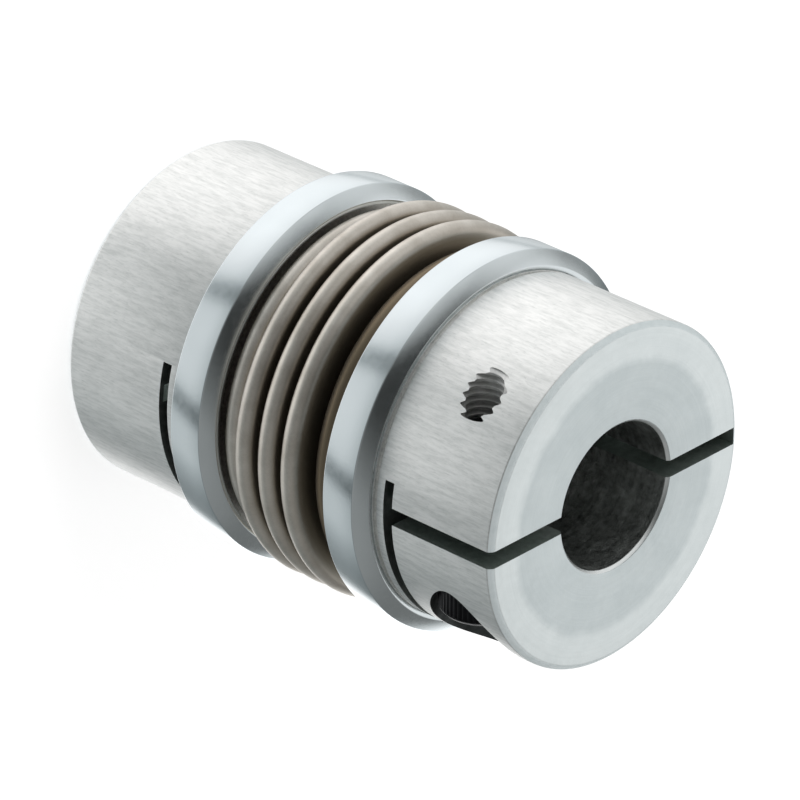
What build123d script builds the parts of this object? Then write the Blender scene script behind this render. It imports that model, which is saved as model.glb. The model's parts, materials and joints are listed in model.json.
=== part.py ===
"""Bellows coupling: two clamp hubs joined by a thin stainless bellows.

Frame: millimetres, +Z along the shaft axis, origin at the centre of the lower hub's end face.
The coupling stands on that face. Y is the direction of the clamp screws, and each clamp slot
lies in a plane through the shaft axis, square to its screw.
"""
import math
import os

from build123d import *

# ---------------------------------------------------------------- driving dimensions
# clamp hubs, two alike, the upper one turned end for end
BORE_DIAMETER = 10.0            # shaft bore, right through the hub
HUB_DIAMETER = 23.5
HUB_BODY_LENGTH = 12.9          # from the end face to the shoulder behind the bellows cuff
END_CHAMFER = 0.3               # outer edge of the end face
BORE_CHAMFER = 0.2              # at the bore's mouth
SPIGOT_DIAMETER = 17.2          # nose that carries the bellows cuff
SPIGOT_LENGTH = 1.5

# the cuts that free the clamp jaw
SLOT_WIDTH = 1.2                # lengthwise slot, in the plane of the shaft axis
HINGE_WEB = 0.4                 # wall left at the slot's closed side, the jaw's hinge
SLIT_WIDTH = 0.75               # crosswise slit, behind the screw
SLIT_RISE = 2.3                 # how far the slit passes the slot's middle plane
LIP_LENGTH = 0.6                # hub left between the slit and the relief groove

# clamp screw, M3 socket head cap screw
SCREW_FROM_END = 4.3            # screw axis from the end face
SCREW_WALL = 1.05               # metal between the bore and the screw's clearance hole
SCREW_DIAMETER = 3.0
SCREW_LENGTH = 10.0             # under the head
SCREW_CHAMFER = 0.4             # at the tip
HEAD_DIAMETER = 5.5
HEAD_HEIGHT = 3.0
HEAD_CHAMFER = 0.3
SOCKET_ACROSS_FLATS = 2.5
SOCKET_DEPTH = 1.5
SEAT_DEPTH = 3.5                # head seat, from the slot's middle plane
HEAD_CLEARANCE = 1.0            # on the diameter, round the head in its counterbore
SHANK_CLEARANCE = 0.4           # on the diameter, through the jaw
THREAD_CLEARANCE = 0.05         # on the diameter, between the screw and its hole in the fixed half

# retaining rings
RING_WALL = 1.25                # thickness on the hub
RING_LENGTH = 3.8
RING_OVERHANG = 0.95            # how far the ring reaches past the hub's shoulder
RING_BEVEL_LENGTH = 0.65        # bevel on both outer edges, along the axis
RING_BEVEL_DEPTH = 0.95         # and across it
GROOVE_WIDTH = 0.3              # relief groove in the hub beside the ring
GROOVE_DEPTH = 0.25

# bellows
BELLOWS_WALL = 0.2
CREST_INSET = 0.1               # full crests lie this far inside the ring's outer surface
END_CREST_DROP = 1.15           # the first and last crest are this much lower than the rest
CONVOLUTION_PITCH = 2.0
CREST_BEND = 0.6                # radius at the middle of the wall, the roots get what is left
FULL_CONVOLUTIONS = 3
CUFF_LENGTH = 0.7               # straight part of each cuff
BOND_GAP = 0.1                  # between the cuff and the hub it is bonded to
OUTER_FACET = 45.0              # degrees turned by each facet on the outer side of a bend
INNER_FACET = 90.0              # and on its inner side, lower values make rounder bends

LOWER_HUB_TURN = -5.0           # degrees that the lower clamp was left out of line with the upper

# ---------------------------------------------------------------- derived sizes
HUB_RADIUS = HUB_DIAMETER / 2
BORE_RADIUS = BORE_DIAMETER / 2
SPIGOT_RADIUS = SPIGOT_DIAMETER / 2
RING_RADIUS = HUB_RADIUS + RING_WALL
RING_END = HUB_BODY_LENGTH + RING_OVERHANG
RING_START = RING_END - RING_LENGTH
GROOVE_START = RING_START - GROOVE_WIDTH
SLIT_END = GROOVE_START - LIP_LENGTH
SLIT_START = SLIT_END - SLIT_WIDTH
CLEARANCE_RADIUS = (SCREW_DIAMETER + SHANK_CLEARANCE) / 2
TAPPED_RADIUS = (SCREW_DIAMETER + THREAD_CLEARANCE) / 2
COUNTERBORE_RADIUS = (HEAD_DIAMETER + HEAD_CLEARANCE) / 2
SCREW_OFFSET = BORE_RADIUS + SCREW_WALL + CLEARANCE_RADIUS
CREST_RADIUS = RING_RADIUS - CREST_INSET
ROOT_BEND = CONVOLUTION_PITCH / 2 - CREST_BEND
CUFF_START = HUB_BODY_LENGTH + BOND_GAP
FIRST_ROOT = CUFF_START + CUFF_LENGTH
CONVOLUTIONS = FULL_CONVOLUTIONS + 2
OVERALL_LENGTH = 2 * FIRST_ROOT + CONVOLUTIONS * CONVOLUTION_PITCH
SPAN = 4 * HUB_DIAMETER         # longer than any cut needs


def revolved(outline: Face) -> Solid:
    """Turn an outline drawn on the XZ plane into a full solid about Z."""
    return revolve(outline, axis=Axis.Z, revolution_arc=360).solid()


def box_between(low: tuple, high: tuple) -> Solid:
    """A plain block between two corners."""
    size = [b - a for a, b in zip(low, high)]
    centre = [(a + b) / 2 for a, b in zip(low, high)]
    return Pos(*centre) * Solid.make_box(*size, Plane(origin=[-s / 2 for s in size]))


def rod_along_y(x: float, z: float, radius: float, y_from: float, y_to: float) -> Solid:
    """A cylinder along Y, between two heights."""
    plane = Plane(origin=(x, y_from, z), z_dir=(0, 1, 0))
    return Solid.make_cylinder(radius, y_to - y_from, plane)


def hub_blank() -> Solid:
    """The turned hub before its clamp is cut: body, relief groove, shoulder, spigot and bore."""
    nose = HUB_BODY_LENGTH + SPIGOT_LENGTH
    groove_floor = HUB_RADIUS - GROOVE_DEPTH
    points = [
        (BORE_RADIUS + BORE_CHAMFER, 0),
        (HUB_RADIUS - END_CHAMFER, 0),
        (HUB_RADIUS, END_CHAMFER),
        (HUB_RADIUS, GROOVE_START),
        (groove_floor, GROOVE_START),
        (groove_floor, RING_START),
        (HUB_RADIUS, RING_START),
        (HUB_RADIUS, HUB_BODY_LENGTH),
        (SPIGOT_RADIUS, HUB_BODY_LENGTH),
        (SPIGOT_RADIUS, nose),
        (BORE_RADIUS, nose),
        (BORE_RADIUS, BORE_CHAMFER),
    ]
    return revolved(Plane.XZ * make_face(Polyline(points, close=True)))


def clamp_hub() -> Solid:
    """A hub standing on its end face: slot open towards +X, screw head towards -Y."""
    slot = box_between(
        (-(HUB_RADIUS - HINGE_WEB), -SLOT_WIDTH / 2, -END_CHAMFER),
        (SPAN, SLOT_WIDTH / 2, SLIT_START + SLIT_WIDTH / 2),
    )
    slit = box_between((-SPAN, -SPAN, SLIT_START), (SPAN, SLIT_RISE, SLIT_END))
    hole_at = (SCREW_OFFSET, SCREW_FROM_END)
    clearance_hole = rod_along_y(*hole_at, CLEARANCE_RADIUS, -SPAN, 0)
    tapped_hole = rod_along_y(*hole_at, TAPPED_RADIUS, 0, SPAN)
    counterbore = rod_along_y(*hole_at, COUNTERBORE_RADIUS, -SPAN, -SEAT_DEPTH)
    return (hub_blank() - slot - slit - clearance_hole - tapped_hole - counterbore).solid()


def clamp_screw() -> Solid:
    """The socket head screw in the place it has in a standing hub, pointing along +Y."""
    radius = SCREW_DIAMETER / 2
    head_radius = HEAD_DIAMETER / 2
    points = [
        (0, -HEAD_HEIGHT),
        (head_radius - HEAD_CHAMFER, -HEAD_HEIGHT),
        (head_radius, -HEAD_HEIGHT + HEAD_CHAMFER),
        (head_radius, 0),
        (radius, 0),
        (radius, SCREW_LENGTH - SCREW_CHAMFER),
        (radius - SCREW_CHAMFER, SCREW_LENGTH),
        (0, SCREW_LENGTH),
    ]
    turned = revolved(Plane.XZ * make_face(Polyline(points, close=True)))
    socket_plane = Plane(origin=(0, 0, -HEAD_HEIGHT))
    hexagon = RegularPolygon(SOCKET_ACROSS_FLATS / 2, 6, major_radius=False)
    socket = extrude(socket_plane * hexagon, SOCKET_DEPTH)
    seat = Plane(origin=(SCREW_OFFSET, -SEAT_DEPTH, SCREW_FROM_END), z_dir=(0, 1, 0))
    return (seat.location * (turned - socket)).solid()


def retaining_ring() -> Solid:
    """The bevelled steel ring round the mouth of a standing hub."""
    edge = RING_RADIUS - RING_BEVEL_DEPTH
    points = [
        (HUB_RADIUS, RING_START),
        (edge, RING_START),
        (RING_RADIUS, RING_START + RING_BEVEL_LENGTH),
        (RING_RADIUS, RING_END - RING_BEVEL_LENGTH),
        (edge, RING_END),
        (HUB_RADIUS, RING_END),
    ]
    return revolved(Plane.XZ * make_face(Polyline(points, close=True)))


def bend(centre: tuple, radius: float, offset: float, start: float, end: float) -> list:
    """Corners of one side of a bend, laid out as straight facets between two directions.

    The radius is that of the wall's middle, and the offset is how far this side lies outside it,
    seen from the bend's centre. Directions are in degrees.
    """
    radius += offset
    facet = OUTER_FACET if offset > 0 else INNER_FACET
    count = round(abs(end - start) / facet)
    angles = [math.radians(start + (end - start) * step / count) for step in range(count + 1)]
    return [(centre[0] + radius * math.cos(a), centre[1] + radius * math.sin(a)) for a in angles]


def convolutions(offset: float) -> list:
    """The bellows' section line from cuff to cuff, offset outwards from the middle of its wall.

    Straight flanks stand square to the axis and are joined by half-round bends, wide ones at the
    crests and narrow ones at the roots.
    """
    cuff = SPIGOT_RADIUS + BOND_GAP + BELLOWS_WALL / 2
    root_centre = cuff + ROOT_BEND
    full_top = CREST_RADIUS - BELLOWS_WALL / 2 - CREST_BEND
    end_top = full_top - END_CREST_DROP
    tops = [end_top] + [full_top] * FULL_CONVOLUTIONS + [end_top]

    points = [(cuff + offset, CUFF_START)]
    for index, top in enumerate(tops):
        root = FIRST_ROOT + index * CONVOLUTION_PITCH
        crest = root + CONVOLUTION_PITCH / 2
        next_root = root + CONVOLUTION_PITCH
        points += bend((root_centre, root), ROOT_BEND, -offset, 180, 90)
        points += bend((top, crest), CREST_BEND, offset, -90, 90)
        points += bend((root_centre, next_root), ROOT_BEND, -offset, -90, -180)[:-1]
    points.append((cuff + offset, OVERALL_LENGTH - FIRST_ROOT))
    points.append((cuff + offset, OVERALL_LENGTH - CUFF_START))
    return points


def bellows() -> Solid:
    """One thin wall: a cuff on each spigot, a low end crest beside each ring, full crests between."""
    outer = convolutions(BELLOWS_WALL / 2)
    inner = convolutions(-BELLOWS_WALL / 2)
    section = make_face(Polyline(outer + inner[::-1], close=True))
    return revolved(Plane.XZ * section)


def upper(piece: Solid) -> Solid:
    """Turn a lower piece end for end into its place at the top of the coupling."""
    return Pos(0, 0, OVERALL_LENGTH) * Rot(0, 180, 0) * piece


def lower(piece: Solid) -> Solid:
    """Turn a lower piece about the shaft axis to the angle it was assembled at."""
    return Rot(0, 0, LOWER_HUB_TURN) * piece


def build() -> dict:
    """Every piece of the coupling in its place, by name."""
    hub = clamp_hub()
    screw = clamp_screw()
    ring = retaining_ring()
    return {
        "lower_hub": lower(hub),
        "lower_screw": lower(screw),
        "lower_ring": ring,
        "bellows": bellows(),
        "upper_ring": upper(ring),
        "upper_hub": upper(hub),
        "upper_screw": upper(screw),
    }


os.makedirs("parts", exist_ok=True)
for name, shape in build().items():
    export_step(shape, f"parts/{name}.step")
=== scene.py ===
"""Studio scene of a bellows coupling: two clamp hubs with rings and screws, and a thin bellows.

Sizes are in millimetres unless a name ends in _m, and each finished mesh is brought to metres.
A hub, its ring and its screw are modelled standing on the hub's end face, and are then placed.
"""
import json
import logging
import math
from dataclasses import dataclass
from enum import Enum, IntEnum
from typing import Optional, Sequence, Union

import bmesh
import bpy
from mathutils import Matrix, Vector


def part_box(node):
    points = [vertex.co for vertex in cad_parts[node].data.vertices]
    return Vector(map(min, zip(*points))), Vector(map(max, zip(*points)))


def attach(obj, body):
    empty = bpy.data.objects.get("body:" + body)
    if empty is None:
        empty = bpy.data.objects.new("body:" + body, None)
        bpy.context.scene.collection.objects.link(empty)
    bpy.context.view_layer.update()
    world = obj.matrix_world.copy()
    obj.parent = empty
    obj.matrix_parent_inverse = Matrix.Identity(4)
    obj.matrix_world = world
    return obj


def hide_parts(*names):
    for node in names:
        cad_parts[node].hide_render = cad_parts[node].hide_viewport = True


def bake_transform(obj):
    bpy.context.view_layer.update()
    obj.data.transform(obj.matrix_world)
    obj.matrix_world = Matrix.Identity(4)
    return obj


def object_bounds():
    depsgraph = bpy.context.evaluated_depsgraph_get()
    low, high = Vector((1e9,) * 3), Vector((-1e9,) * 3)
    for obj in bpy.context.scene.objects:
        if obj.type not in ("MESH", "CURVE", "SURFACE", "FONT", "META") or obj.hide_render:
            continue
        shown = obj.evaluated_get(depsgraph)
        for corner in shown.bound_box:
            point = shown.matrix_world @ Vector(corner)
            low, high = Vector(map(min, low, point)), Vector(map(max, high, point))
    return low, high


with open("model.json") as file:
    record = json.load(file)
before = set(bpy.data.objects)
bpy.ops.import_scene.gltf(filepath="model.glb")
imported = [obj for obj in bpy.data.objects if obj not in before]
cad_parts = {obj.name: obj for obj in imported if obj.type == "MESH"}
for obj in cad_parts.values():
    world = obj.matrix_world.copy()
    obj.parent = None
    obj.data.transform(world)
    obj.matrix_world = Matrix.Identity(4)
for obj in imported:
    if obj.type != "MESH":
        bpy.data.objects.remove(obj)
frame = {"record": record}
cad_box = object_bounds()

MM = 0.001
MICRON = 0.000001
WELD = 1e-4
FULL_TURN = 2 * math.pi

Colour = tuple[float, float, float]
Range = tuple[float, float]
Input = Union[float, tuple, bpy.types.NodeSocket]

log = logging.getLogger("coupling")


# ------------------------------------------------------------------------------- choices
class End(Enum):
    """The two ends of the coupling."""

    LOWER = "lower"
    UPPER = "upper"

    @property
    def body(self) -> str:
        """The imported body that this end's pieces ride on."""
        return f"{self.value}_clamp"

    def node(self, piece: str) -> str:
        """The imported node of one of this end's pieces."""
        return f"{self.value}_{piece}"


class Joining(Enum):
    """What a second shape does to a piece."""

    CUT = "DIFFERENCE"
    ADD = "UNION"
    TRIM = "INTERSECT"


class Zone(IntEnum):
    """The turned surfaces of a hub, numbered as its materials are."""

    SIDE = 0
    FACE = 1
    BORE = 2
    EDGE = 3
    LIP = 4


# ------------------------------------------------------------------------------- measures
@dataclass(frozen=True)
class Measures:
    """Main sizes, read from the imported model."""

    length: float
    bore_radius: float
    hub_radius: float
    nose_height: float
    ring_radius: float
    ring_start: float
    ring_end: float
    cuff_start: float
    crest_radius: float
    screw_offset: float
    screw_from_end: float
    head_top: float
    screw_tip: float
    head_radius: float

    @classmethod
    def read(cls) -> "Measures":
        """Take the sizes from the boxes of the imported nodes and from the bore's mount.

        Returns:
            The sizes of the standing lower hub and its pieces, and of the bellows.
        """
        hub_low, hub_high = (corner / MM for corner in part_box(End.LOWER.node("hub")))
        ring_low, ring_high = (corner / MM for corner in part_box(End.LOWER.node("ring")))
        screw_low, screw_high = (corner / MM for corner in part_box(End.UPPER.node("screw")))
        wall_low, wall_high = (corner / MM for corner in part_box("bellows"))
        length = cad_box[1][2] / MM
        return cls(
            length=length,
            bore_radius=frame["record"]["mounts"][0]["dims"]["r_mm"],
            hub_radius=hub_high.y,
            nose_height=hub_high.z,
            ring_radius=ring_high.x,
            ring_start=ring_low.z,
            ring_end=ring_high.z,
            cuff_start=wall_low.z,
            crest_radius=wall_high.x,
            screw_offset=abs(screw_low.x + screw_high.x) / 2,
            screw_from_end=length - (screw_low.z + screw_high.z) / 2,
            head_top=screw_low.y,
            screw_tip=screw_high.y,
            head_radius=(screw_high.z - screw_low.z) / 2,
        )


@dataclass(frozen=True)
class Assembly:
    """How each end's pieces stand in the coupling."""

    measures: Measures
    lower_turn: float = math.radians(-5.0)

    def placing(self, end: End) -> Matrix:
        """Where a piece modelled on a standing hub goes.

        Args:
            end: The end of the coupling that the piece belongs to.

        Returns:
            The transform from the standing hub to the coupling, in millimetres.
        """
        if end is End.LOWER:
            return Matrix.Rotation(self.lower_turn, 4, "Z")
        flip = Matrix.Rotation(math.pi, 4, "Y")
        return Matrix.Translation((0, 0, self.measures.length)) @ flip


# ------------------------------------------------------------------------------- mesh work
@dataclass(frozen=True)
class Corner:
    """One corner of a turned outline."""

    radius: float
    height: float
    rounding: float = 0.0


def chain(shape: bmesh.types.BMesh, points: Sequence[tuple[float, float, float]],
          closed: bool = False) -> list[bmesh.types.BMVert]:
    """Draw straight edges from point to point.

    Args:
        shape: The shape to draw in.
        points: The points, in order.
        closed: Whether the last point joins the first.

    Returns:
        The points' vertices, in order.
    """
    verts = [shape.verts.new(point) for point in points]
    for pair in zip(verts, verts[1:]):
        shape.edges.new(pair)
    if closed:
        shape.edges.new((verts[-1], verts[0]))
    return verts


def spin(shape: bmesh.types.BMesh, steps: int, rise: float = 0.0) -> None:
    """Sweep an outline once round the shaft axis.

    Args:
        shape: The shape that holds the outline.
        steps: Facets in a full turn.
        rise: How far the outline climbs in a turn, which leaves its two ends apart.
    """
    bmesh.ops.spin(
        shape, geom=shape.verts[:] + shape.edges[:], cent=(0, 0, 0), axis=(0, 0, 1),
        dvec=(0, 0, rise / steps), angle=FULL_TURN, steps=steps, use_merge=not rise,
    )


def slice_level(shape: bmesh.types.BMesh, height: float, side: int = 1,
                clear: bool = False) -> None:
    """Cut every face of a shape at a height.

    Args:
        shape: The shape to cut.
        height: The height of the level cut.
        side: 1 if the cut's outer side is above it, or -1 if it is below.
        clear: Whether what lies on the outer side goes.
    """
    bmesh.ops.bisect_plane(
        shape, geom=shape.verts[:] + shape.edges[:] + shape.faces[:],
        plane_co=(0, 0, height), plane_no=(0, 0, side), clear_outer=clear,
    )


def clean(shape: bmesh.types.BMesh) -> None:
    """Merge a shape's doubles and turn its faces outwards.

    Args:
        shape: The shape to clean.
    """
    bmesh.ops.remove_doubles(shape, verts=shape.verts[:], dist=WELD)
    bmesh.ops.recalc_face_normals(shape, faces=shape.faces[:])


def turned(corners: Sequence[Corner], closed: bool = True, steps: int = 256,
           arc_steps: int = 3) -> bmesh.types.BMesh:
    """Spin an outline about the shaft axis.

    Args:
        corners: The outline's corners, in order.
        closed: Whether the last corner joins the first.
        steps: Facets in a full turn.
        arc_steps: Facets in each rounded corner.

    Returns:
        The turned shape, with its normals outwards where it is closed.
    """
    shape = bmesh.new()
    verts = chain(shape, [(corner.radius, 0, corner.height) for corner in corners], closed)
    for vert, corner in zip(verts, corners):
        if corner.rounding:
            bmesh.ops.bevel(
                shape, geom=[vert], offset=corner.rounding, offset_type="OFFSET",
                segments=arc_steps, profile=0.5, affect="VERTICES", material=-1,
            )
    spin(shape, steps)
    clean(shape)
    return shape


def block(low: Sequence[float], high: Sequence[float]) -> bmesh.types.BMesh:
    """A plain block between two corners.

    Args:
        low: Its lowest corner.
        high: Its highest corner.

    Returns:
        The closed shape.
    """
    low, high = Vector(low), Vector(high)
    shape = bmesh.new()
    size = Matrix.Diagonal((high - low).to_4d())
    bmesh.ops.create_cube(shape, size=1, matrix=Matrix.Translation((low + high) / 2) @ size)
    return shape


def prism(radius: float, low: float, high: float, sides: int,
          top_radius: Optional[float] = None) -> bmesh.types.BMesh:
    """An upright prism or cone between two heights.

    Args:
        radius: Its corner radius at the bottom.
        low: The height of its bottom.
        high: The height of its top.
        sides: How many sides it has.
        top_radius: Its corner radius at the top, the same as the bottom's if not given.

    Returns:
        The closed shape.
    """
    shape = bmesh.new()
    bmesh.ops.create_cone(
        shape, cap_ends=True, segments=sides, radius1=radius,
        radius2=radius if top_radius is None else top_radius, depth=high - low,
        matrix=Matrix.Translation((0, 0, (low + high) / 2)),
    )
    return shape


@dataclass(frozen=True)
class Thread:
    """A right-hand metric thread, whose parts are shares of its pitch.

    The root runs from a turn's start to root_end, and the crest from crest_start to crest_end.
    The lead is where the turns start.
    """

    major_radius: float = 1.5
    pitch: float = 0.5
    depth_share: float = 0.6134
    root_end: float = 1 / 4
    crest_start: float = 9 / 16
    crest_end: float = 11 / 16
    lead: float = 0.5
    steps: int = 64

    def rod(self, low: float, high: float, allowance: float = 0.0) -> bmesh.types.BMesh:
        """A threaded rod standing on the axis, cut square at both ends.

        Args:
            low: The height of its bottom.
            high: The height of its top.
            allowance: How much larger its radius is than the nominal thread's.

        Returns:
            The closed shape.
        """
        crest = self.major_radius + allowance
        root = crest - self.depth_share * self.pitch
        first = math.floor(low / self.pitch) - 2
        last = math.ceil(high / self.pitch) + 1
        turn = ((root, 0), (root, self.root_end),
                (crest, self.crest_start), (crest, self.crest_end))
        points = [(radius, 0, (number + share + self.lead) * self.pitch)
                  for number in range(first, last) for radius, share in turn]
        points.append((root, 0, (last + self.lead) * self.pitch))
        shape = bmesh.new()
        chain(shape, points)
        spin(shape, self.steps, rise=self.pitch)
        bmesh.ops.remove_doubles(shape, verts=shape.verts[:], dist=WELD)
        for height, side in ((low, -1), (high, 1)):
            slice_level(shape, height, side, clear=True)
            rim = [edge for edge in shape.edges if edge.is_boundary
                   and all(abs(vert.co.z - height) < WELD for vert in edge.verts)]
            bmesh.ops.holes_fill(shape, edges=rim, sides=0)
        clean(shape)
        return shape


def dressed_mesh(name: str, shape: bmesh.types.BMesh,
                 finishes: Sequence[bpy.types.Material]) -> bpy.types.Mesh:
    """Make a mesh of a shape.

    Args:
        name: The mesh's name.
        shape: The shape, which is used up.
        finishes: Its materials, by the shape's material numbers.

    Returns:
        The new mesh.
    """
    mesh = bpy.data.meshes.new(name)
    shape.to_mesh(mesh)
    shape.free()
    for finish in finishes:
        mesh.materials.append(finish)
    return mesh


def show(name: str, data: bpy.types.ID) -> bpy.types.Object:
    """Put a mesh, a lamp or a camera in the scene.

    Args:
        name: The new object's name.
        data: What it shows.

    Returns:
        The new object, at the origin.
    """
    item = bpy.data.objects.new(name, data)
    bpy.context.scene.collection.objects.link(item)
    return item


class Piece:
    """A mesh object in the making, in millimetres."""

    def __init__(self, name: str, shape: bmesh.types.BMesh,
                 finishes: Sequence[bpy.types.Material]) -> None:
        """Make the object.

        Args:
            name: The piece's name.
            shape: Its first shape, which is used up.
            finishes: Its materials, by the shape's material numbers.
        """
        self.item = show(name, dressed_mesh(name, shape, finishes))
        self.cuts: set[str] = set()

    def settle(self) -> None:
        """Make the object's modifiers part of its mesh."""
        graph = bpy.context.evaluated_depsgraph_get()
        old = self.item.data
        self.item.data = bpy.data.meshes.new_from_object(self.item.evaluated_get(graph))
        self.item.modifiers.clear()
        name = old.name
        bpy.data.meshes.remove(old)
        self.item.data.name = name

    def combine(self, shape: bmesh.types.BMesh, joining: Joining,
                finish: bpy.types.Material) -> None:
        """Cut, join or trim the piece with a closed shape.

        Args:
            shape: The other shape, which is used up.
            joining: What the shape does.
            finish: The material that the shape's faces leave.
        """
        tool = Piece(f"{self.item.name}_tool", shape, [finish])
        if joining is Joining.CUT:
            self.cuts.add(finish.name)
        modifier = self.item.modifiers.new("combine", "BOOLEAN")
        modifier.object = tool.item
        modifier.operation = joining.value
        modifier.solver = "EXACT"
        modifier.material_mode = "TRANSFER"
        self.settle()
        mesh = tool.item.data
        bpy.data.objects.remove(tool.item)
        bpy.data.meshes.remove(mesh)

    def thicken(self, wall: float) -> None:
        """Give an open surface an even wall, half of it on each side.

        Args:
            wall: The wall's thickness.
        """
        modifier = self.item.modifiers.new("wall", "SOLIDIFY")
        modifier.thickness = wall
        modifier.offset = 0
        modifier.use_even_offset = True
        self.settle()

    def place(self, placing: Matrix, sharp_angle: float = 28.0) -> bpy.types.Object:
        """Put the piece in its place and bring it to metres.

        Args:
            placing: Where it goes, in millimetres.
            sharp_angle: Edges that turn more than this many degrees are shown sharp.

        Returns:
            The finished object, at the origin and unturned.
        """
        mesh = self.item.data
        mesh.transform(Matrix.Scale(MM, 4) @ placing)
        mesh.shade_smooth()
        mesh.set_sharp_from_angle(angle=math.radians(sharp_angle))
        self._crease_cuts(mesh)
        mesh.update()
        return self.item

    def _crease_cuts(self, mesh: bpy.types.Mesh) -> None:
        """Show the mouth of every cut sharp, however flat the cut runs out.

        Args:
            mesh: The piece's mesh.
        """
        cut = [finish is not None and finish.name in self.cuts for finish in mesh.materials]
        shape = bmesh.new()
        shape.from_mesh(mesh)
        for edge in shape.edges:
            numbers = {face.material_index for face in edge.link_faces}
            if len(numbers) == 2 and any(cut[number] for number in numbers):
                edge.smooth = False
        shape.to_mesh(mesh)
        shape.free()


# ------------------------------------------------------------------------------- shader work
class Graph:
    """Adds and links the nodes of one shader tree."""

    def __init__(self, tree: bpy.types.NodeTree) -> None:
        """Take a tree to work on."""
        self.tree = tree

    def add(self, kind: str, inputs: Optional[dict[Union[str, int], Input]] = None,
            **settings: object) -> bpy.types.Node:
        """Add one node.

        Args:
            kind: The node's type name.
            inputs: Values or sockets for its inputs, by name or number.
            settings: Its other properties.

        Returns:
            The new node.
        """
        node = self.tree.nodes.new(kind)
        for name, value in settings.items():
            setattr(node, name, value)
        for name, value in (inputs or {}).items():
            self.feed(node.inputs[name], value)
        return node

    def feed(self, socket: bpy.types.NodeSocket, value: Input) -> None:
        """Give a node's input its value.

        Args:
            socket: The input.
            value: A value for it, or another node's output to link to it.
        """
        if isinstance(value, bpy.types.NodeSocket):
            self.tree.links.new(value, socket)
        else:
            socket.default_value = value

    def math(self, operation: str, *values: Input) -> bpy.types.NodeSocket:
        """The result of a Math node."""
        return self.add("ShaderNodeMath", dict(enumerate(values)), operation=operation).outputs[0]

    def vector(self, operation: str, *values: Input) -> bpy.types.NodeSocket:
        """The vector result of a Vector Math node."""
        node = self.add("ShaderNodeVectorMath", dict(enumerate(values)), operation=operation)
        return node.outputs["Vector"]

    def weigh(self, first: Input, first_share: Input, second: Input,
              second_share: Input) -> bpy.types.NodeSocket:
        """Add two values by their shares.

        Args:
            first: A value.
            first_share: What the first value is multiplied by.
            second: Another value.
            second_share: What the second value is multiplied by.

        Returns:
            The weighed sum.
        """
        return self.math("ADD", self.math("MULTIPLY", first, first_share),
                         self.math("MULTIPLY", second, second_share))

    def lower(self, value: Input, amount: Input, share: Input) -> bpy.types.NodeSocket:
        """Take a share of an amount off a value."""
        return self.math("SUBTRACT", value, self.math("MULTIPLY", amount, share))

    def spread(self, value: Input, low: float, high: float,
               to_low: float = 0.0, to_high: float = 1.0) -> bpy.types.NodeSocket:
        """Bring a value's range to another range, and keep it there.

        Args:
            value: The value.
            low: The value that gives to_low.
            high: The value that gives to_high.
            to_low: One end of the new range.
            to_high: The other end.

        Returns:
            The value in its new range.
        """
        inputs = {"Value": value, "From Min": low, "From Max": high,
                  "To Min": to_low, "To Max": to_high}
        return self.add("ShaderNodeMapRange", inputs).outputs["Result"]

    def mix(self, share: Input, first: Input, second: Input) -> bpy.types.NodeSocket:
        """Mix two colours.

        Args:
            share: The second colour's share.
            first: The first colour.
            second: The second colour.

        Returns:
            The colour between them.
        """
        node = self.add("ShaderNodeMix", data_type="RGBA")
        values = {"Factor_Float": share, "A_Color": first, "B_Color": second}
        for socket in node.inputs:
            if socket.identifier in values:
                value = values[socket.identifier]
                self.feed(socket, (*value, 1) if isinstance(value, tuple) else value)
        return next(out for out in node.outputs if out.identifier == "Result_Color")

    def place(self) -> bpy.types.NodeSocket:
        """The place on the piece, in metres."""
        return self.add("ShaderNodeTexCoord").outputs["Object"]

    def noise(self, place: Input, scale: Input, detail: Input,
              roughness: float) -> bpy.types.NodeSocket:
        """Soft noise over a place.

        Args:
            place: The place to look up.
            scale: How many of its largest features a unit holds.
            detail: How many finer layers it has.
            roughness: How strong the finer layers are.

        Returns:
            The noise, about 0.5 on average.
        """
        inputs = {"Vector": place, "Scale": scale, "Detail": detail, "Roughness": roughness}
        return self.add("ShaderNodeTexNoise", inputs).outputs["Fac"]


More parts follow.
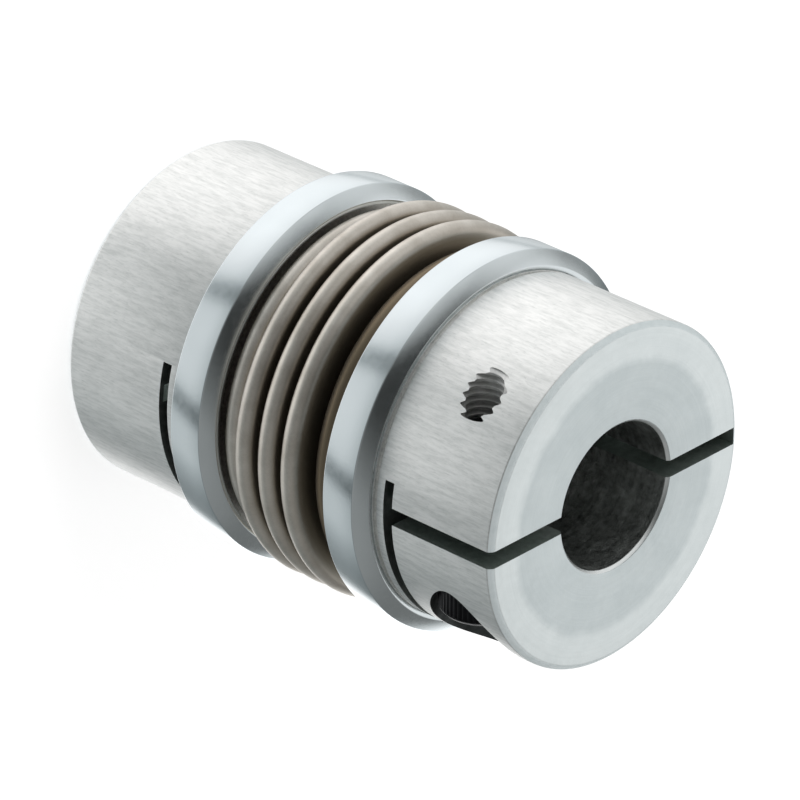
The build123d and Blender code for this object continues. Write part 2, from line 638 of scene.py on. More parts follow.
class SharedEffects:
    """Surface patterns that several finishes use, each built once as a node group."""

    def __init__(self) -> None:
        """Build the groups."""
        self.grain = self._grain()
        self.turning = self._turning()
        self.clouds = self._clouds()

    @staticmethod
    def _start(name: str, values: dict[str, float],
               results: Sequence[str] = ("Mask",)) -> tuple[Graph, bpy.types.Node, bpy.types.Node]:
        """Start a group with number inputs and number outputs.

        Args:
            name: The group's name.
            values: Its inputs and their first values.
            results: Its outputs.

        Returns:
            The group's graph, its input node and its output node.
        """
        tree = bpy.data.node_groups.new(name, "ShaderNodeTree")
        kind = "NodeSocketFloat"
        for label, value in values.items():
            socket = tree.interface.new_socket(name=label, in_out="INPUT", socket_type=kind)
            socket.default_value = value
        for label in results:
            tree.interface.new_socket(name=label, in_out="OUTPUT", socket_type=kind)
        graph = Graph(tree)
        return graph, graph.add("NodeGroupInput"), graph.add("NodeGroupOutput")

    def _grain(self) -> bpy.types.NodeTree:
        """Fine streaks along the shaft axis, of a width and a length in millimetres.

        Returns:
            The node group.
        """
        graph, given, result = self._start("grain", {"Width": 0.1, "Length": 1.5})
        across = graph.math("DIVIDE", 1 / MM, given.outputs["Width"])
        along = graph.math("DIVIDE", 1 / MM, given.outputs["Length"])
        scale = graph.add("ShaderNodeCombineXYZ", {"X": across, "Y": across, "Z": along}).outputs[0]
        stretched = graph.vector("MULTIPLY", graph.place(), scale)
        noise = graph.noise(stretched, 1.0, detail=3.0, roughness=0.6)
        graph.feed(result.inputs["Mask"], noise)
        return graph.tree

    def _turning(self) -> bpy.types.NodeTree:
        """Fine rings about the shaft axis, left by a lathe tool, with a feed in millimetres.

        It also gives the distance from the axis and the height, both in millimetres.

        Returns:
            The node group.
        """
        graph, given, result = self._start("turning", {"Feed": 0.1, "Sweep": 1.0},
                                           ("Mask", "Radius", "Height"))
        parts = graph.add("ShaderNodeSeparateXYZ", {0: graph.place()}).outputs
        squares = graph.weigh(parts["X"], parts["X"], parts["Y"], parts["Y"])
        radius = graph.math("DIVIDE", graph.math("SQRT", squares), MM)
        height = graph.math("DIVIDE", parts["Z"], MM)
        ring, step = (graph.math("DIVIDE", way, given.outputs["Feed"]) for way in (radius, height))
        angle = graph.math("MULTIPLY", graph.math("ARCTAN2", parts["Y"], parts["X"]),
                           given.outputs["Sweep"])
        polar = graph.add("ShaderNodeCombineXYZ", {"X": ring, "Y": angle, "Z": step}).outputs[0]
        noise = graph.noise(polar, 1.0, detail=2.0, roughness=0.55)
        for name, value in (("Mask", noise), ("Radius", radius), ("Height", height)):
            graph.feed(result.inputs[name], value)
        return graph.tree

    def _clouds(self) -> bpy.types.NodeTree:
        """Soft uneven patches, of a size in millimetres.

        Returns:
            The node group.
        """
        graph, given, result = self._start("clouds", {"Size": 3.0, "Detail": 2.0})
        scale = graph.math("DIVIDE", 1 / MM, given.outputs["Size"])
        noise = graph.noise(graph.place(), scale, detail=given.outputs["Detail"], roughness=0.6)
        graph.feed(result.inputs["Mask"], graph.spread(noise, 0.3, 0.7))
        return graph.tree


@dataclass(frozen=True)
class Finish:
    """A metal finish: its tones, its gloss and the fine relief of its surface."""

    name: str
    light: Colour
    dark: Colour
    roughness: float
    relief_um: float = 3.0
    metallic: float = 1.0

    def build(self, effects: SharedEffects) -> bpy.types.Material:
        """Make the material.

        Args:
            effects: The shared surface patterns.

        Returns:
            The finished material.
        """
        material = bpy.data.materials.new(self.name)
        material.use_nodes = True
        graph = Graph(material.node_tree)
        shader = material.node_tree.nodes["Principled BSDF"]
        tone, gloss, height = self.pattern(graph, effects)
        bump = graph.add("ShaderNodeBump", {
            "Strength": 1.0, "Distance": self.relief_um * MICRON, "Height": height})
        for name, value in (
            ("Metallic", self.metallic),
            ("Base Color", self.tint(graph, effects, graph.mix(tone, self.dark, self.light))),
            ("Roughness", graph.math("ADD", self.roughness, gloss)),
            ("Normal", bump.outputs["Normal"]),
        ):
            graph.feed(shader.inputs[name], value)
        return material

    def tint(self, graph: Graph, effects: SharedEffects, colour: Input) -> Input:
        """The finish's own change to its pattern's colour, which is none for most."""
        return colour

    def pattern(self, graph: Graph, effects: SharedEffects) -> tuple[Input, Input, Input]:
        """The finish's own pattern.

        Args:
            graph: The material's nodes.
            effects: The shared surface patterns.

        Returns:
            How light the tone is, how much rougher the surface is, and the relief's height.
        """
        raise NotImplementedError

    @staticmethod
    def use(graph: Graph, group: bpy.types.NodeTree, result: str = "Mask",
            **values: float) -> bpy.types.NodeSocket:
        """A result of a shared effect, with this finish's own values."""
        return graph.add("ShaderNodeGroup", values, node_tree=group).outputs[result]


@dataclass(frozen=True)
class Brushed(Finish):
    """Drawn bar, left with short fine streaks and small dark marks along its length.

    A broad streak and a mark are so many times the size of a fine streak. A range is of noise.
    """

    streak_width: float = 0.08
    streak_length: float = 0.55
    broad_times: float = 3.0
    fine_share: float = 0.32
    streak_range: Range = (0.36, 0.60)
    streak_tone: float = 0.8
    mark_width_times: float = 1.6
    mark_length_times: float = 0.8
    mark_range: Range = (0.57, 0.68)
    mark_depth: float = 0.4
    mark_relief: float = 0.5
    cloud_size: float = 1.4
    cloud_tone: float = 0.35
    cloud_gloss: float = 0.05

    def pattern(self, graph: Graph, effects: SharedEffects) -> tuple[Input, Input, Input]:
        """Streaks of two sizes and sparse marks, over soft patches.

        Args:
            graph: The material's nodes.
            effects: The shared surface patterns.

        Returns:
            How light the tone is, how much rougher the surface is, and the relief's height.
        """
        fine, broad, nicks = (
            self.use(graph, effects.grain, Width=self.streak_width * wider,
                     Length=self.streak_length * longer)
            for wider, longer in ((1, 1), (self.broad_times, self.broad_times),
                                  (self.mark_width_times, self.mark_length_times)))
        marks = graph.spread(nicks, *self.mark_range)
        clouds = self.use(graph, effects.clouds, Size=self.cloud_size, Detail=3.0)
        streaks = graph.weigh(fine, self.fine_share, broad, 1 - self.fine_share)
        tone = graph.math("ADD", graph.spread(streaks, *self.streak_range, 0, self.streak_tone),
                          graph.math("MULTIPLY", clouds, self.cloud_tone))
        return (graph.lower(tone, marks, self.mark_depth),
                graph.spread(clouds, 0, 1, 0, self.cloud_gloss),
                graph.lower(streaks, marks, self.mark_relief))


@dataclass(frozen=True)
class Turned(Finish):
    """A lathe-turned surface with faint rings about the axis and a duller zone near it."""

    feed: float = 0.12
    sweep: float = 0.8
    ring_range: Range = (0.3, 0.7)
    ring_tone: float = 0.25
    mottle_size: float = 0.45
    mottle_tone: float = 0.35
    mottle_gloss: float = 0.08
    patch_size: float = 2.5
    patch_tone: float = 0.40
    zone_radius: float = 9.25
    zone_edge: float = 0.3
    zone_waver: float = 0.12
    zone_depth: float = 0.5
    contrast: float = 0.45
    middle_tone: float = 0.6

    def pattern(self, graph: Graph, effects: SharedEffects) -> tuple[Input, Input, Input]:
        """Rings and mottling, darker inside the zone.

        Args:
            graph: The material's nodes.
            effects: The shared surface patterns.

        Returns:
            How light the tone is, how much rougher the surface is, and the relief's height.
        """
        rings = self.use(graph, effects.turning, Feed=self.feed, Sweep=self.sweep)
        radius = self.use(graph, effects.turning, "Radius")
        mottle, patches = (self.use(graph, effects.clouds, Size=size, Detail=3.0)
                           for size in (self.mottle_size, self.patch_size))
        waver = graph.spread(patches, 0, 1, -self.zone_waver, self.zone_waver)
        zone = graph.spread(graph.math("ADD", radius, waver),
                            self.zone_radius + self.zone_edge, self.zone_radius - self.zone_edge)
        tone = graph.math("ADD", graph.spread(rings, *self.ring_range, 0, self.ring_tone),
                          graph.weigh(mottle, self.mottle_tone, patches, self.patch_tone))
        tone = graph.math("MULTIPLY_ADD", graph.math("SUBTRACT", tone, 0.5), self.contrast,
                          self.middle_tone)
        return (graph.lower(tone, zone, self.zone_depth),
                graph.spread(mottle, 0, 1, 0, self.mottle_gloss),
                graph.math("ADD", rings, mottle))


@dataclass(frozen=True)
class Satin(Finish):
    """A smooth satin surface with soft patches, and with finer ones in them."""

    patch: float = 3.0
    finer_times: float = 12.0
    fine_share: float = 0.3
    fine_gloss: float = 0.05

    def pattern(self, graph: Graph, effects: SharedEffects) -> tuple[Input, Input, Input]:
        """Soft patches of two sizes.

        Args:
            graph: The material's nodes.
            effects: The shared surface patterns.

        Returns:
            How light the tone is, how much rougher the surface is, and the relief's height.
        """
        broad = self.use(graph, effects.clouds, Size=self.patch, Detail=2.0)
        fine = self.use(graph, effects.clouds, Size=self.patch / self.finer_times, Detail=3.0)
        tone = graph.weigh(broad, 1 - self.fine_share, fine, self.fine_share)
        return tone, graph.spread(fine, 0, 1, 0, self.fine_gloss), fine


@dataclass(frozen=True)
class Formed(Satin):
    """A formed thin wall, darkened by painted shade down into its roots and, browner, near the
    upper end.

    The lower convolutions, which start end_start from the middle, have no painted root shade from
    end_radius on.
    """

    # Painted shade: the wall darkens from the crest radius down to the root radius, where the
    # valleys fall into shade.
    root_radius: float = 11.9
    unshaded_radius: float = 12.85
    root_shade_tone: Colour = (0.36, 0.32, 0.26)
    middle: float = 18.7
    end_start: float = 2.8
    end_full: float = 3.4
    end_radius: float = 11.0
    end_fade: float = 0.5
    # Painted shade near the upper end, browner, where the wall runs into the upper ring.
    end_shade_start: float = 21.8
    end_shade_full: float = 22.6
    end_shade_tone: Colour = (0.27, 0.215, 0.15)

    def tint(self, graph: Graph, effects: SharedEffects, colour: Input) -> Input:
        """Painted shade: darker towards the roots of the full convolutions, and darker and browner
        near the upper end.

        Args:
            graph: The material's nodes.
            effects: The shared surface patterns.
            colour: The pattern's colour.

        Returns:
            The wall's colour.
        """
        radius, height = (self.use(graph, effects.turning, name) for name in ("Radius", "Height"))
        away = graph.math("ABSOLUTE", graph.math("SUBTRACT", height, self.middle))
        unshaded_end = graph.math(
            "MULTIPLY", graph.spread(away, self.end_start, self.end_full),
            graph.spread(radius, self.end_radius, self.end_radius + self.end_fade))
        # Painted shade in the valleys: towards the roots the colour goes over to the dark root
        # tone, except on the lower end convolutions.
        unshaded_crest = graph.spread(radius, self.root_radius, self.unshaded_radius)
        colour = graph.mix(graph.math("MAXIMUM", unshaded_crest, unshaded_end), self.root_shade_tone, colour)
        # Painted shade: darker and browner as the height rises towards the upper ring.
        end_shade = graph.spread(height, self.end_shade_start, self.end_shade_full)
        return graph.mix(end_shade, colour, self.end_shade_tone)


@dataclass(frozen=True)
class Finishes:
    """Every finish of the coupling, as finished materials."""

    side: bpy.types.Material
    face: bpy.types.Material
    edge: bpy.types.Material
    bore: bpy.types.Material
    cut: bpy.types.Material
    slit: bpy.types.Material
    lip: bpy.types.Material
    seat: bpy.types.Material
    thread: bpy.types.Material
    ring: bpy.types.Material
    bellows: bpy.types.Material
    screw: bpy.types.Material

    @classmethod
    def build(cls) -> "Finishes":
        """Make all materials from the shared effects.

        Returns:
            The materials.
        """
        effects = SharedEffects()
        finishes = {
            "side": Brushed("brushed_aluminium", light=(1.0, 1.0, 0.985), dark=(0.77, 0.78, 0.765),
                            roughness=0.42, relief_um=5.0),
            "face": Turned("turned_aluminium", light=(0.95, 1.0, 1.0), dark=(0.64, 0.70, 0.71),
                           roughness=0.38, relief_um=1.5),
            "edge": Satin("turned_edge", light=(0.90, 0.97, 0.98), dark=(0.80, 0.88, 0.89),
                          roughness=0.55, metallic=0.35, patch=0.5),
            # The bore is painted darker than the hub's outside as painted shade deep in the bore;
            # its rings are turning marks.
            "bore": Turned("bored_aluminium", light=(0.72, 0.745, 0.73), dark=(0.10, 0.105, 0.10),
                           roughness=0.40, relief_um=30.0, feed=0.35, zone_radius=0.0,
                           zone_depth=0.0, contrast=1.2),
            "cut": Satin("sawn_aluminium", light=(0.66, 0.72, 0.69), dark=(0.44, 0.50, 0.47),
                         roughness=0.50, relief_um=4.0, patch=0.6),
            # The slit's walls are painted darker than the slot's, as painted shade inside the
            # narrow slit.
            "slit": Satin("slitted_aluminium", light=(0.34, 0.36, 0.35), dark=(0.18, 0.20, 0.19),
                          roughness=0.50, relief_um=4.0, patch=0.6),
            "lip": Satin("chamfered_aluminium", light=(0.98, 1.0, 1.0), dark=(0.88, 0.91, 0.91),
                         roughness=0.30, relief_um=2.0, patch=0.5),
            # The counterbore's near-black tone is painted shade; its walls are aluminium like the
            # rest of the hub.
            "seat": Satin("milled_seat", light=(0.15, 0.16, 0.16), dark=(0.06, 0.065, 0.065),
                          roughness=0.45, patch=0.6),
            "thread": Satin("tapped_aluminium", light=(0.85, 0.85, 0.84), dark=(0.62, 0.62, 0.61),
                            roughness=0.45, relief_um=2.0, patch=0.5),
            "ring": Satin("zinc_plated_steel", light=(0.77, 0.82, 0.84), dark=(0.70, 0.75, 0.77),
                          roughness=0.17, relief_um=1.0, patch=5.0),
            "bellows": Formed("formed_stainless", light=(0.87, 0.82, 0.755),
                              dark=(0.63, 0.58, 0.515), roughness=0.42, relief_um=2.5, patch=2.0),
            "screw": Satin("black_oxide_steel", light=(0.022, 0.022, 0.024),
                           dark=(0.012, 0.012, 0.013), roughness=0.40, relief_um=2.0, patch=1.0),
        }
        return cls(**{use: finish.build(effects) for use, finish in finishes.items()})


# ------------------------------------------------------------------------------- the coupling
@dataclass(frozen=True)
class ClampHub:
    """A hub with its shaft bore, its clamp jaw and the nose that carries the bellows.

    An overcut is how far a cutting shape passes the surface that it leaves.
    """

    measures: Measures
    finishes: Finishes
    spigot_radius: float = 8.6
    spigot_length: float = 1.5
    end_chamfer: float = 0.3
    bore_chamfer: float = 0.2
    groove_width: float = 0.3
    groove_depth: float = 0.25
    lip_length: float = 0.6
    slot_width: float = 1.2
    hinge_web: float = 0.4
    slit_width: float = 0.75
    slit_rise: float = 2.3
    seat_depth: float = 3.5
    seat_facets: int = 128
    head_clearance: float = 0.5
    shank_clearance: float = 0.2
    shank_facets: int = 96
    thread_allowance: float = 0.025
    edge: float = 0.05
    soft_edge: float = 0.17
    level_tolerance: float = 0.0125
    side_tolerance: float = 0.00625
    overcut: float = 1.0

    @property
    def groove_start(self) -> float:
        """The height at which the groove before the ring starts."""
        return self.measures.ring_start - self.groove_width

    def blank(self) -> bmesh.types.BMesh:
        """Turn the hub, before its clamp is cut.

        Returns:
            The closed shape, with its surfaces numbered by zone.
        """
        size = self.measures
        shoulder = size.nose_height - self.spigot_length
        groove_floor = size.hub_radius - self.groove_depth
        shape = turned([
            Corner(size.bore_radius + self.bore_chamfer, 0, self.edge),
            Corner(size.hub_radius - self.end_chamfer, 0, self.soft_edge),
            Corner(size.hub_radius, self.end_chamfer, self.soft_edge / 2),
            Corner(size.hub_radius, self.groove_start, self.edge),
            Corner(groove_floor, self.groove_start),
            Corner(groove_floor, size.ring_start),
            Corner(size.hub_radius, size.ring_start, self.edge),
            Corner(size.hub_radius, shoulder, self.edge),
            Corner(self.spigot_radius, shoulder),
            Corner(self.spigot_radius, size.nose_height, self.edge),
            Corner(size.bore_radius, size.nose_height, self.edge),
            Corner(size.bore_radius, self.bore_chamfer, self.edge),
        ])
        for face in shape.faces:
            face.material_index = self._zone(face.calc_center_median())
        return shape

    def _zone(self, spot: Vector) -> Zone:
        """Tell which turned surface a spot is on.

        Args:
            spot: The spot, on the standing hub.

        Returns:
            The surface's zone.
        """
        size, radius = self.measures, math.hypot(spot.x, spot.y)
        if radius < size.bore_radius + self.edge and spot.z > self.bore_chamfer:
            return Zone.BORE
        if spot.z < self.level_tolerance:
            return Zone.FACE
        if spot.z < self.bore_chamfer and radius < size.bore_radius + self.bore_chamfer:
            return Zone.LIP
        if spot.z < self.end_chamfer and radius < size.hub_radius - self.side_tolerance:
            return Zone.EDGE
        return Zone.SIDE

    def upright_to_screw(self) -> Matrix:
        """Lay an upright shape along the clamp screw's axis, pointing along +Y.

        Returns:
            The transform, in the standing hub.
        """
        size = self.measures
        lay = Matrix.Rotation(-math.pi / 2, 4, "X")
        return Matrix.Translation((size.screw_offset, 0, size.screw_from_end)) @ lay

    def build(self, name: str) -> Piece:
        """Turn the hub, cut its clamp and tap it.

        Args:
            name: The piece's name.

        Returns:
            The hub, standing on its end face.
        """
        size, done, thread = self.measures, self.finishes, Thread()
        far = 3 * size.hub_radius
        slit_end = self.groove_start - self.lip_length
        slit_start = slit_end - self.slit_width
        half_slot = self.slot_width / 2
        hub = Piece(name, self.blank(), [done.side, done.face, done.bore, done.edge, done.lip])
        slot = block((self.hinge_web - size.hub_radius, -half_slot, -self.end_chamfer),
                     (far, half_slot, (slit_start + slit_end) / 2))
        slit = block((-far, -far, slit_start), (far, self.slit_rise, slit_end))
        counterbore = prism(size.head_radius + self.head_clearance, -far, -self.seat_depth,
                            self.seat_facets)
        clearance = prism(thread.major_radius + self.shank_clearance,
                          -self.seat_depth - self.overcut, 0, self.shank_facets)
        tapping = thread.rod(-half_slot / 2, size.hub_radius + self.overcut, self.thread_allowance)
        for shape in (counterbore, clearance, tapping):
            bmesh.ops.transform(shape, matrix=self.upright_to_screw(), verts=shape.verts[:])
        for shape, finish in ((slot, done.cut), (slit, done.slit), (counterbore, done.seat),
                              (clearance, done.cut), (tapping, done.thread)):
            hub.combine(shape, Joining.CUT, finish)
        return hub


@dataclass(frozen=True)
class ClampScrew:
    """The socket head screw that closes a hub's jaw."""

    measures: Measures
    finishes: Finishes
    head_height: float = 3.0
    head_chamfer: float = 0.3
    socket_across_flats: float = 2.5
    socket_depth: float = 1.5
    mouth_chamfer: float = 0.12
    mouth_facets: int = 64
    tip_chamfer: float = 0.4
    shank_facets: int = 96
    knurls: int = 48
    knurl_facets: int = 3
    knurl_depth: float = 0.06
    edge: float = 0.06
    overcut: float = 1.0

    def head(self) -> bmesh.types.BMesh:
        """Turn the head and knurl it.

        Returns:
            The head, with its top down and its seat at zero height.
        """
        radius, facets = self.measures.head_radius, self.knurl_facets * self.knurls
        shape = turned([
            Corner(0, -self.head_height),
            Corner(radius - self.head_chamfer, -self.head_height, self.edge),
            Corner(radius, self.head_chamfer - self.head_height, self.edge),
            Corner(radius, 0, self.edge),
            Corner(0, 0),
        ], closed=False, steps=facets)
        low, high = self.head_chamfer - self.head_height + self.edge, -2 * self.edge
        slice_level(shape, high - self.edge)
        slice_level(shape, low + self.edge)
        share = 1 - self.knurl_depth / radius
        for vert in shape.verts:
            facet = round(math.atan2(vert.co.y, vert.co.x) / (FULL_TURN / facets))
            knurled = low + self.edge / 2 < vert.co.z < high - self.edge / 2
            if knurled and facet % self.knurl_facets == 0:
                vert.co.x *= share
                vert.co.y *= share
        return shape

    def build(self, name: str, laying: Matrix) -> Piece:
        """Make the screw and lay it in its seat.

        Args:
            name: The piece's name.
            laying: The transform that lays an upright shape along the screw's axis.

        Returns:
            The screw, in the standing hub.
        """
        top, tip = self.measures.head_top, self.measures.screw_tip
        seat = top + self.head_height
        thread = Thread()
        reach = thread.major_radius
        envelope = turned([
            Corner(0, seat - self.overcut),
            Corner(reach + self.overcut, seat - self.overcut),
            Corner(reach + self.overcut, tip - self.tip_chamfer - self.overcut),
            Corner(reach - self.tip_chamfer, tip),
            Corner(0, tip),
        ], closed=False, steps=self.shank_facets)
        head = self.head()
        bmesh.ops.translate(head, vec=(0, 0, seat), verts=head.verts[:])
        corner = self.socket_across_flats / 2 / math.cos(math.pi / 6)
        socket = prism(corner, top - self.overcut, top + self.socket_depth, 6)
        mouth = prism(corner + self.overcut, top - self.overcut + self.mouth_chamfer,
                      top + self.mouth_chamfer, self.mouth_facets, corner)
        screw = Piece(name, thread.rod(seat - self.edge, tip), [self.finishes.screw])
        for shape, joining in ((envelope, Joining.TRIM), (head, Joining.ADD),
                               (socket, Joining.CUT), (mouth, Joining.CUT)):
            screw.combine(shape, joining, self.finishes.screw)
        log.info("%s: %.1f mm under its head", name, tip - seat)
        screw.item.data.transform(laying)
        return screw


@dataclass(frozen=True)
class RetainingRing:
    """The bevelled ring round a hub's mouth."""

    measures: Measures
    finishes: Finishes
    bevel_length: float = 0.65
    bevel_depth: float = 0.95
    fit: float = 0.01
    edge: float = 0.06

    def build(self, name: str) -> Piece:
        """Turn the ring on its standing hub.

        Args:
            name: The piece's name.

        Returns:
            The ring.
        """
        size = self.measures
        inner = size.hub_radius + self.fit
        face = size.ring_radius - self.bevel_depth
        shape = turned([
            Corner(inner, size.ring_start, self.edge / 2),
            Corner(face, size.ring_start, self.edge),
            Corner(size.ring_radius, size.ring_start + self.bevel_length, self.edge),
            Corner(size.ring_radius, size.ring_end - self.bevel_length, self.edge),
            Corner(face, size.ring_end, self.edge),
            Corner(inner, size.ring_end, self.edge / 2),
        ])
        return Piece(name, shape, [self.finishes.ring])


@dataclass(frozen=True)
class Bellows:
    """The thin formed wall between the hubs. A bend fills nearly all of the room that it has."""

    measures: Measures
    finishes: Finishes
    wall: float = 0.2
    pitch: float = 2.0
    crest_bend: float = 0.6
    bend_fill: float = 0.999
    bend_facets: int = 6
    facets: int = 192
    full_convolutions: int = 3
    end_drop: float = 1.15
    cuff_radius: float = 8.8
    cuff_length: float = 0.7

    def outline(self) -> list[Corner]:
        """Draw the middle of the wall from cuff to cuff, with every bend as a rounded corner.

        Returns:
            The corners, from the lower cuff up.
        """
        size = self.measures
        crest_bend = self.crest_bend
        root_rounding = (self.pitch / 2 - crest_bend) * self.bend_fill
        crest_rounding = crest_bend * self.bend_fill
        crest = size.crest_radius - self.wall / 2
        end_crest = crest - self.end_drop
        crests = [end_crest] + [crest] * self.full_convolutions + [end_crest]
        first_root = size.cuff_start + self.cuff_length
        corners = [Corner(self.cuff_radius, size.cuff_start)]
        for index, radius in enumerate(crests):
            middle = first_root + (index + 0.5) * self.pitch
            corners += [
                Corner(self.cuff_radius, middle - crest_bend, root_rounding),
                Corner(radius, middle - crest_bend, crest_rounding),
                Corner(radius, middle + crest_bend, crest_rounding),
                Corner(self.cuff_radius, middle + crest_bend, root_rounding),
            ]
        corners.append(Corner(self.cuff_radius, size.length - size.cuff_start))
        return corners

    def build(self, name: str) -> Piece:
        """Form the wall.

        Args:
            name: The piece's name.

        Returns:
            The bellows, in its place.
        """
        shape = turned(self.outline(), closed=False, steps=self.facets, arc_steps=self.bend_facets)
        bellows = Piece(name, shape, [self.finishes.bellows])
        bellows.thicken(self.wall)
        return bellows


class Coupling:
    """The whole coupling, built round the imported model."""

    def __init__(self, finishes: Finishes) -> None:
        """Read the sizes and set out the pieces.

        Args:
            finishes: The materials of its pieces.
        """
        self.measures = Measures.read()
        self.assembly = Assembly(self.measures)
        self.finishes = finishes

    def build(self) -> None:
        """Make every piece, and fasten each hub, screw and ring to its end's body."""
        for end in End:
            self._build_end(end)
        self._build_bellows()

    def _build_end(self, end: End) -> None:
        """Make one end's hub, screw and ring.

        Args:
            end: Which end.
        """
        hub = ClampHub(self.measures, self.finishes)
        screw = ClampScrew(self.measures, self.finishes)
        ring = RetainingRing(self.measures, self.finishes)
        placing = self.assembly.placing(end)
        pieces = {
            "hub": hub.build(f"{end.value}_hub_turned"),
            "screw": screw.build(f"{end.value}_screw_threaded", hub.upright_to_screw()),
            "ring": ring.build(f"{end.value}_ring_bevelled"),
        }
        for kind, piece in pieces.items():
            item = piece.place(placing)
            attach(item, end.body)
            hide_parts(end.node(kind))
            log.info("%s: %d faces", item.name, len(item.data.polygons))

    def _build_bellows(self) -> None:
        """Make the bellows in its place between the hubs."""
        item = Bellows(self.measures, self.finishes).build("bellows_formed").place(Matrix())
        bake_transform(item)
        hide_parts("bellows")
        log.info("%s: %d faces", item.name, len(item.data.polygons))


# ------------------------------------------------------------------------------- the studio
def heading(azimuth_deg: float, elevation_deg: float) -> Vector:
    """Turn two angles into a direction.

    Args:
        azimuth_deg: The angle round the shaft axis, from +X towards +Y.
        elevation_deg: The angle above the level.

    Returns:
        The direction, of length 1.
    """
    azimuth, elevation = math.radians(azimuth_deg), math.radians(elevation_deg)
    return Vector((math.cos(elevation) * math.cos(azimuth),
                   math.cos(elevation) * math.sin(azimuth), math.sin(elevation)))


@dataclass(frozen=True)
class Camera:
    """A long lens on the coupling's middle, rolled so that the coupling looks as if it lay down."""

    azimuth_deg: float = 143.9
    elevation_deg: float = 36.9
    roll_deg: float = 114.2
    distance_m: float = 0.474
    near_clip_m: float = 0.01
    lens_mm: float = 329.8
    sensor_mm: float = 36.0

    def build(self, target: Vector) -> None:
        """Make the camera and look through it.

        Args:
            target: The point it is aimed at, in metres.
        """
        data = bpy.data.cameras.new("camera")
        data.lens = self.lens_mm
        data.sensor_width = self.sensor_mm
        data.clip_start = self.near_clip_m
        away = heading(self.azimuth_deg, self.elevation_deg)
        level = Vector((0, 0, 1)).cross(away).normalized()
        turn = Matrix((level, away.cross(level), away)).transposed().to_4x4()
        roll = Matrix.Rotation(math.radians(self.roll_deg), 4, "Z")
        item = show("camera", data)
        item.matrix_world = Matrix.Translation(target + away * self.distance_m) @ turn @ roll
        bpy.context.scene.camera = item


@dataclass(frozen=True)
class Softbox:
    """A square area lamp aimed at the coupling. Metal shows the room's cards in its stead."""

    name: str
    azimuth_deg: float
    elevation_deg: float
    distance_m: float
    width_m: float
    radiance: float

    def build(self, target: Vector) -> None:
        """Hang the lamp.

        Args:
            target: The point it is aimed at, in metres.
        """
        data = bpy.data.lights.new(self.name, "AREA")
        data.size = self.width_m
        data.energy = self.radiance * math.pi * self.width_m ** 2
        away = heading(self.azimuth_deg, self.elevation_deg)
        item = show(self.name, data)
        item.matrix_world = (Matrix.Translation(target + away * self.distance_m)
                             @ away.to_track_quat("Z", "Y").to_matrix().to_4x4())
        item.visible_glossy = False


@dataclass(frozen=True)
class Card:
    """A reflector or a flag: a place round the coupling that looks lighter or darker in metal.

    It is round if it has an elevation, and otherwise it stands on the table up to its top.
    """

    azimuth_deg: float
    core_deg: float
    reach_deg: float
    gain: float
    elevation_deg: Optional[float] = None
    top_deg: float = -22.0


@dataclass(frozen=True)
class Room:
    """What metal sees round it: a white table, a dim room above it, and cards round both.

    A range is of how far a heading rises, from -1 straight down to 1 straight up.
    """

    table_level: float = 0.66
    room_level: float = 0.19
    least_level: float = 0.02
    cards: tuple[Card, ...] = (
        Card(58, 25, 75, 0.57, top_deg=8),
        Card(160, 20, 44, 0.14),
        Card(128, 2, 9, -0.50),
        Card(200, 2, 9, -0.48),
        Card(272, 3, 42, -0.38),
        Card(305, 10, 26, 1.30, top_deg=0),
        Card(4, 1, 6, -0.35),
        Card(-25, 18, 38, 0.76, 38),
        Card(35, 8, 32, 0.60, 25),
        Card(85, 8, 32, 0.58, 38),
        Card(220, 20, 50, 0.12, 30),
        Card(140, 12, 38, -0.15, 75),
        Card(0, 12, 40, 0.50, -90),
    )
    table_edge: Range = (-0.25, -0.58)
    card_foot: Range = (-1.0, -0.72)
    card_fade: float = 0.15
    tint_rise: Range = (-0.2, 0.2)
    dim_tint: Colour = (0.86, 0.98, 1.0)
    high_tint: Colour = (0.95, 0.98, 0.96)
    bright_tint: Colour = (1.0, 1.0, 1.0)

    def colour(self, graph: Graph) -> bpy.types.NodeSocket:
        """Build the room's light by heading.

        Args:
            graph: The world's nodes.

        Returns:
            The colour of the light from a heading.
        """
        way = graph.add("ShaderNodeTexCoord").outputs["Generated"]
        rise = graph.add("ShaderNodeSeparateXYZ", {0: way}).outputs["Z"]
        level_way = graph.vector("NORMALIZE", graph.vector("MULTIPLY", way, (1, 1, 0)))
        level = graph.spread(rise, *self.table_edge, self.room_level, self.table_level)
        for card in self.cards:
            core, reach = (math.cos(math.radians(angle))
                           for angle in (card.core_deg, card.reach_deg))
            if card.elevation_deg is None:
                facing = self._towards(graph, level_way, card.azimuth_deg, 0)
                top = math.sin(math.radians(card.top_deg))
                standing = graph.math(
                    "MULTIPLY", graph.spread(rise, *self.card_foot),
                    graph.spread(rise, top + self.card_fade, top - self.card_fade))
            else:
                facing = self._towards(graph, way, card.azimuth_deg, card.elevation_deg)
                standing = 1.0
            gain = graph.math("MULTIPLY", graph.spread(facing, reach, core, 0, card.gain), standing)
            level = graph.math("ADD", level, gain)
        level = graph.math("MAXIMUM", level, self.least_level)
        dim = graph.mix(graph.spread(rise, *self.tint_rise), self.dim_tint, self.high_tint)
        tint = graph.mix(level, dim, self.bright_tint)
        return graph.add("ShaderNodeVectorMath", {0: tint, "Scale": level},
                         operation="SCALE").outputs["Vector"]

    @staticmethod
    def _towards(graph: Graph, way: Input, azimuth_deg: float,
                 elevation_deg: float) -> bpy.types.NodeSocket:
        """How nearly a heading points towards a place round the coupling, up to 1."""
        return graph.add("ShaderNodeVectorMath", {0: way, 1: heading(azimuth_deg, elevation_deg)},
                         operation="DOT_PRODUCT").outputs["Value"]


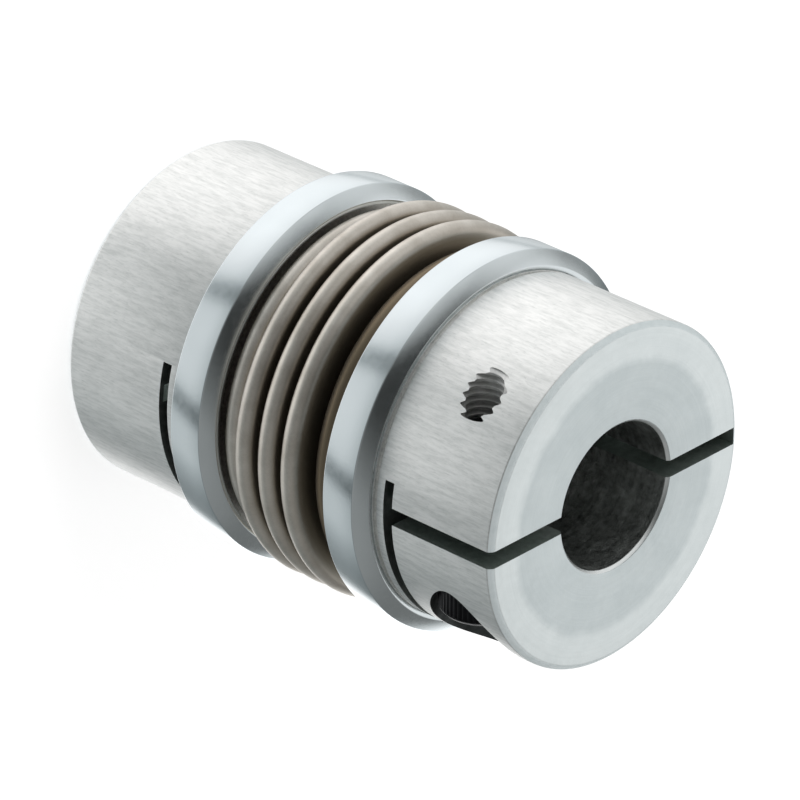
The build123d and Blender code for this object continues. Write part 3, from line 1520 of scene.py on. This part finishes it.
@dataclass(frozen=True)
class Studio:
    """A pale floor, a white background, soft lamps and the camera."""

    middle: Vector
    background: Colour = (1.0, 1.0, 1.0)
    ambient: Colour = (0.5, 0.5, 0.5)
    floor_width_m: float = 3.0
    floor_colour: Colour = (0.8, 0.8, 0.8)
    floor_roughness: float = 0.9
    floor_glow: float = 0.6
    lamps: tuple[Softbox, ...] = (
        Softbox("key_light", 80, 50, distance_m=0.6, width_m=0.3, radiance=2.0),
        Softbox("back_light", -40, 50, distance_m=0.7, width_m=0.3, radiance=1.2),
    )

    def build(self) -> None:
        """Set up everything round the coupling."""
        bpy.context.scene.view_settings.view_transform = "Standard"
        self._world()
        self._floor()
        for lamp in self.lamps:
            lamp.build(self.middle)
        Camera().build(self.middle)

    def _world(self) -> None:
        """Show white to the camera, plain light to the floor, and the room to metal."""
        world = bpy.data.worlds.new("studio")
        world.use_nodes = True
        bpy.context.scene.world = world
        graph = Graph(world.node_tree)
        path = graph.add("ShaderNodeLightPath").outputs
        seen = graph.mix(path["Is Diffuse Ray"], Room().colour(graph), self.ambient)
        colour = graph.mix(path["Is Camera Ray"], seen, self.background)
        graph.feed(world.node_tree.nodes["Background"].inputs["Color"], colour)

    def _floor(self) -> None:
        """Lay a pale matt floor that reads white to the camera and keeps a soft shadow."""
        material = bpy.data.materials.new("pale_floor")
        material.use_nodes = True
        graph = Graph(material.node_tree)
        shader = material.node_tree.nodes["Principled BSDF"]
        glow = graph.math("MULTIPLY", graph.add("ShaderNodeLightPath").outputs["Is Camera Ray"],
                          self.floor_glow)
        for name, value in (
            ("Base Color", (*self.floor_colour, 1)), ("Roughness", self.floor_roughness),
            ("Specular IOR Level", 0.0), ("Emission Color", (1, 1, 1, 1)),
            ("Emission Strength", glow),
        ):
            graph.feed(shader.inputs[name], value)
        shape = bmesh.new()
        bmesh.ops.create_grid(shape, x_segments=1, y_segments=1, size=self.floor_width_m / 2)
        item = show("floor", dressed_mesh("floor", shape, [material]))
        item.visible_glossy = False


def main() -> None:
    """Build the coupling and its studio, aimed at the middle of the imported model's box."""
    logging.basicConfig(level=logging.INFO, format="%(name)s: %(message)s")
    finishes = Finishes.build()
    Coupling(finishes).build()
    low, high = Vector(cad_box[0]), Vector(cad_box[1])
    Studio((low + high) / 2).build()


if __name__ == "__main__":
    main()
